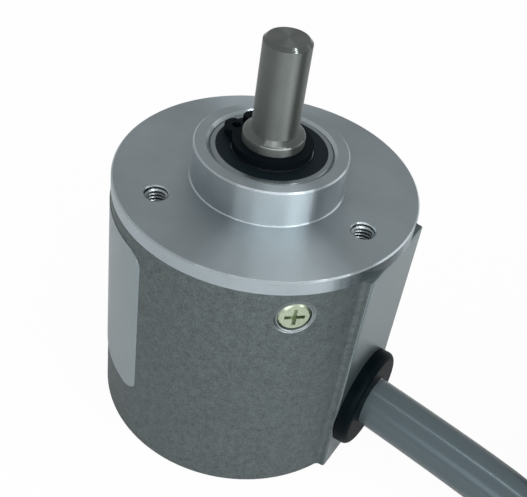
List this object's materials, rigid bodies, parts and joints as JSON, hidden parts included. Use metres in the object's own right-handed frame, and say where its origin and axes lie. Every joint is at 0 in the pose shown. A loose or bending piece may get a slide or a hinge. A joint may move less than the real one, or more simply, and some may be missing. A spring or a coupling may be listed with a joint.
{
  "type": "rotary encoder",
  "caption": "Small round incremental shaft encoder: flanged aluminium body with pilot boss, plain shaft, blasted cover and a grey cable from a rubber gland in its side.",
  "frame": {"origin": "centre of the flat rear face, on the shaft axis", "axes": "+Z along the shaft, out of the front face; +X out of the flat pad that the cable leaves through"},
  "size_m": [0.1531, 0.091, 0.058],
  "materials": {
    "turned_aluminium": "fine turned",
    "blasted_aluminium": "blasted, grey",
    "yellow_zinc": "yellow zinc plated",
    "silver_label": "satin film",
    "spring_steel": "plain",
    "black_spring_steel": "black oxide",
    "shaft_steel": "ground",
    "bearing_steel": "ground and polished",
    "cage_steel": "pressed",
    "disc_steel": "etched thin steel",
    "seal_rubber": "moulded",
    "black_rubber": "moulded",
    "grey_jacket": "smooth",
    "black_sleeve": "shrunk",
    "wire_insulation": "smooth",
    "black_plastic": "moulded",
    "white_plastic": "moulded",
    "clear_lens": "clear",
    "reticle_glass": "etched",
    "board_green": "solder mask",
    "brass_posts": "turned",
    "capacitor_can": "sleeved",
    "tinned_copper": "tinned"
  },
  "bodies": {
    "housing": {"front_flange": "turned_aluminium", "cover": "blasted_aluminium", "cover_screws": "yellow_zinc", "label": "silver_label", "wave_washer": "spring_steel", "led_holder": "black_plastic", "led_emitter": "clear_lens", "led_wires": "tinned_copper", "photo_sensor": "black_plastic", "reticle": "reticle_glass", "circuit_board": "board_green", "board_posts": "brass_posts", "board_screws": "spring_steel", "line_driver": "black_plastic", "signal_chip": "black_plastic", "board_capacitors": "capacitor_can", "wire_header": "white_plastic", "wire_plug": "white_plastic", "inner_wires": "wire_insulation", "cable_gland": "black_rubber", "cable_entry": "grey_jacket", "cable_clamp": "white_plastic", "cable": "grey_jacket", "cable_coil": "grey_jacket", "cable_tail": "grey_jacket", "end_sleeve": "black_sleeve", "lead_wires": "wire_insulation", "lead_tips": "tinned_copper", "front_outer_ring": "bearing_steel", "front_seals": "seal_rubber", "rear_outer_ring": "bearing_steel", "rear_seals": "seal_rubber"},
    "shaft": {"shaft": "shaft_steel", "retaining_ring": "black_spring_steel", "bearing_spacer": "spring_steel", "disc_hub": "turned_aluminium", "hub_set_screws": "black_spring_steel", "code_disc": "disc_steel", "disc_clamp": "turned_aluminium", "front_inner_ring": "bearing_steel", "rear_inner_ring": "bearing_steel"},
    "front_cage": {"front_balls": "bearing_steel", "front_ball_cage": "cage_steel"},
    "rear_cage": {"rear_balls": "bearing_steel", "rear_ball_cage": "cage_steel"}
  },
  "joints": [
    {"name": "shaft_spin", "type": "hinge", "parent": "housing", "child": "shaft", "pos_m": [0, 0, 0.03], "axis": [0, 0, 1], "continuous": true},
    {"name": "front_cage_spin", "type": "hinge", "parent": "housing", "child": "front_cage", "pos_m": [0, 0, 0.04025], "axis": [0, 0, 1], "continuous": true},
    {"name": "rear_cage_spin", "type": "hinge", "parent": "housing", "child": "rear_cage", "pos_m": [0, 0, 0.0285], "axis": [0, 0, 1], "continuous": true}
  ],
  "couplings": [
    {"joint": "front_cage_spin", "follows": "shaft_spin", "ratio": 0.4338},
    {"joint": "rear_cage_spin", "follows": "shaft_spin", "ratio": 0.4338}
  ]
}
